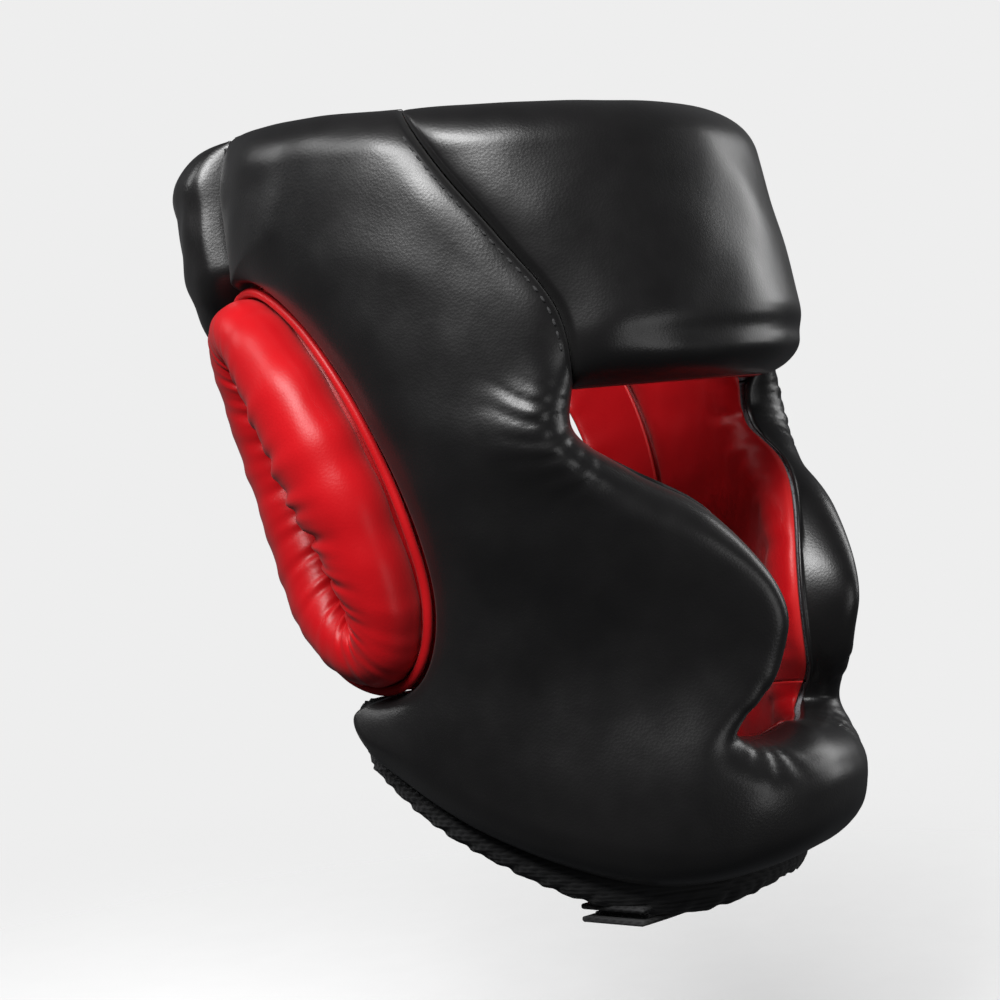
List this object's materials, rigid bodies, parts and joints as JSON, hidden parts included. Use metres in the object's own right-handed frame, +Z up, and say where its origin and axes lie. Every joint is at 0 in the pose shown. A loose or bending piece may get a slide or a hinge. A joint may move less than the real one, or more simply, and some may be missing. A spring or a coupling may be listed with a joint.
{
  "type": "boxing headgear",
  "caption": "Full-face padded headgear with cheek pads, chin bar, puffy ear rings, two hinged rear pads and hook-and-loop chin, crown and rear straps.",
  "frame": {"origin": "middle of the wearer's head, level with the ears, on the part's left-right symmetry plane", "axes": "+Z up as worn, the face looks along -Y, +X to the wearer's left"},
  "size_m": [0.238, 0.2527, 0.2924],
  "materials": {
    "black_leather": "smooth synthetic leather, semi-matte",
    "red_leather": "smooth synthetic leather, semi-matte",
    "foam": "closed-cell foam, matte",
    "webbing": "woven tape",
    "hook_tape": "hook-and-loop pile"
  },
  "bodies": {
    "shell": {"face_cover": "black_leather", "forehead_cover": "black_leather", "forehead_foam": "foam", "forehead_lining": "red_leather", "side_foam_right": "foam", "side_foam_left": "foam", "cheek_foam_right": "foam", "cheek_foam_left": "foam", "chin_foam": "foam", "side_lining_right": "red_leather", "side_lining_left": "red_leather", "chin_lining": "red_leather", "ear_ring_cover_right": "red_leather", "ear_ring_cover_left": "red_leather", "ear_ring_foam_right": "foam", "ear_ring_foam_left": "foam", "ear_piping_right": "red_leather", "ear_piping_left": "red_leather", "ear_lining_right": "red_leather", "ear_lining_left": "red_leather", "jaw_binding_right": "webbing", "jaw_binding_left": "webbing", "hinge_web_right": "black_leather", "hinge_web_left": "black_leather", "chin_strap_tab": "webbing", "chin_anchor": "webbing", "chin_loop_patch": "hook_tape", "crown_tab": "webbing", "crown_loop_patch": "hook_tape", "crown_anchor": "webbing"},
    "rear_pad_right": {"rear_cover_right": "black_leather", "rear_foam_right": "foam", "rear_lining_right": "red_leather", "rear_strap_tab": "webbing"},
    "rear_pad_left": {"rear_cover_left": "black_leather", "rear_foam_left": "foam", "rear_lining_left": "red_leather", "rear_loop_patch": "hook_tape"},
    "rear_strap": {"rear_strap": "webbing", "rear_hook_patch": "hook_tape"},
    "chin_strap": {"chin_strap": "webbing", "chin_hook_patch": "hook_tape"},
    "crown_strap": {"crown_strap": "webbing", "crown_hook_patch": "hook_tape"}
  },
  "joints": [
    {"name": "rear_strap_peel", "type": "hinge", "parent": "rear_pad_right", "child": "rear_strap", "pos_m": [-0.0133, 0.10947, 0.07874], "axis": [0.0091, 0.3158, 0.9488], "range_deg": [0, 90]},
    {"name": "rear_pad_right_swing", "type": "hinge", "parent": "shell", "child": "rear_pad_right", "pos_m": [-0.0674, 0.05855, 0.117], "axis": [0.1206, 0.1086, 0.9867], "range_deg": [0, 22]},
    {"name": "rear_pad_left_swing", "type": "hinge", "parent": "shell", "child": "rear_pad_left", "pos_m": [0.0674, 0.05855, 0.117], "axis": [0.1206, -0.1086, -0.9867], "range_deg": [0, 22]},
    {"name": "chin_strap_peel", "type": "hinge", "parent": "shell", "child": "chin_strap", "pos_m": [0.04526, -0.07, -0.14624], "axis": [0, -1, 0], "range_deg": [0, 75]},
    {"name": "crown_strap_peel", "type": "hinge", "parent": "shell", "child": "crown_strap", "pos_m": [0.06295, 0, 0.12388], "axis": [0, 1, 0], "range_deg": [0, 80]}
  ],
  "couplings": [
    {"joint": "rear_pad_right_swing", "follows": "rear_strap_peel", "ratio": 0.2444},
    {"joint": "rear_pad_left_swing", "follows": "rear_strap_peel", "ratio": 0.2444}
  ]
}
